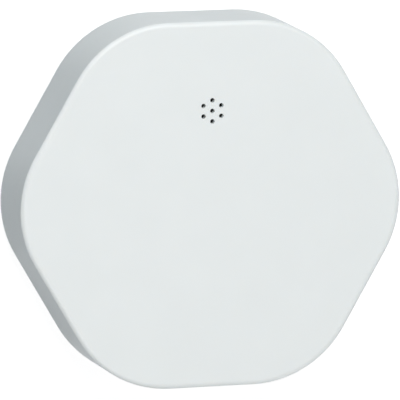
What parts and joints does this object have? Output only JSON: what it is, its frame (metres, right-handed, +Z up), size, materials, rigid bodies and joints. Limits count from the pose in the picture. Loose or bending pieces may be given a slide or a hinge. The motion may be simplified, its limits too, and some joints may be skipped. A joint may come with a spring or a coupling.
{
  "type": "water leak sensor",
  "caption": "Hexagonal floor-standing water leak sensor with sound holes, metal probes on the underside and a battery door.",
  "frame": {"origin": "on the floor, below the middle of the puck", "axes": "+Z up out of the face with the sound holes, +Y towards the sound holes and square to a flat, +X across the corners"},
  "size_m": [0.0616, 0.058, 0.0183],
  "materials": {
    "white_housing": "fine even texture, matt",
    "white_base": "fine even texture, matt",
    "white_nylon": "smooth, slightly translucent look",
    "black_plastic": "moulded, satin",
    "chip_plastic": "moulded, matt",
    "seal_rubber": "soft silicone, matt",
    "button_rubber": "soft silicone, matt",
    "stainless_steel": "turned, bright satin",
    "nickel_steel": "nickel plated, satin",
    "tinned_steel": "tin plated, satin",
    "cell_steel": "nickel plated, satin",
    "brass": "turned, satin",
    "ceramic": "fired ceramic, satin",
    "ferrite": "sintered, matt",
    "capacitor_body": "sintered, satin",
    "board_laminate": "green solder mask, satin",
    "module_laminate": "dark blue solder mask, satin",
    "membrane_film": "thin microporous film, matt",
    "led_lens": "clear resin over pale chip",
    "cell_film": "plain printed film, gloss"
  },
  "bodies": {
    "housing": {"base_housing": "white_base", "boost_coil": "ferrite", "button_guide": "white_nylon", "capacitors": "capacitor_body", "circuit_board": "board_laminate", "driver_chip": "chip_plastic", "front_probe": "stainless_steel", "front_probe_seal": "seal_rubber", "front_standoff": "brass", "housing_screws": "stainless_steel", "housing_seal": "seal_rubber", "left_probe": "stainless_steel", "left_probe_seal": "seal_rubber", "left_standoff": "brass", "negative_contact": "nickel_steel", "negative_spring": "nickel_steel", "pairing_switch": "black_plastic", "piezo_ceramic": "ceramic", "piezo_plate": "brass", "positive_contact": "nickel_steel", "radio_antenna": "ceramic", "radio_module": "module_laminate", "radio_shield": "tinned_steel", "right_probe": "stainless_steel", "right_probe_seal": "seal_rubber", "right_standoff": "brass", "sound_membrane": "membrane_film", "sounder_back": "black_plastic", "sounder_case": "black_plastic", "sounder_seal": "seal_rubber", "status_led": "led_lens", "top_housing": "white_housing"},
    "battery_door": {"battery_door": "white_base", "door_seal": "seal_rubber", "front_screw_retainer": "white_nylon", "rear_screw_retainer": "white_nylon"},
    "cell": {"cell_can": "cell_steel", "cell_washer": "white_nylon", "cell_sleeve": "cell_film"},
    "pairing_button": {"pairing_button": "button_rubber", "button_rod": "white_nylon", "switch_plunger": "chip_plastic"},
    "front_door_screw": {"front_door_screw": "stainless_steel"},
    "rear_door_screw": {"rear_door_screw": "stainless_steel"}
  },
  "joints": [
    {"name": "door_lift_off", "type": "slide", "parent": "housing", "child": "battery_door", "axis": [0, 0, -1], "range_m": [0, 0.03]},
    {"name": "cell_lift_out", "type": "slide", "parent": "housing", "child": "cell", "axis": [0, 0, -1], "range_m": [0, 0.0151]},
    {"name": "button_press", "type": "slide", "parent": "housing", "child": "pairing_button", "axis": [0, 0, 1], "range_m": [0, 0.0004], "stiffness_N_per_m": 1500},
    {"name": "front_screw_turn", "type": "hinge", "parent": "battery_door", "child": "front_door_screw", "pos_m": [0, -0.01155, 0.003], "axis": [0, 0, 1], "continuous": true},
    {"name": "rear_screw_turn", "type": "hinge", "parent": "battery_door", "child": "rear_door_screw", "pos_m": [0, 0.01155, 0.003], "axis": [0, 0, 1], "continuous": true}
  ],
  "couplings": [
    {"joint": "cell_lift_out", "follows": "door_lift_off", "ratio": 0.5}
  ]
}
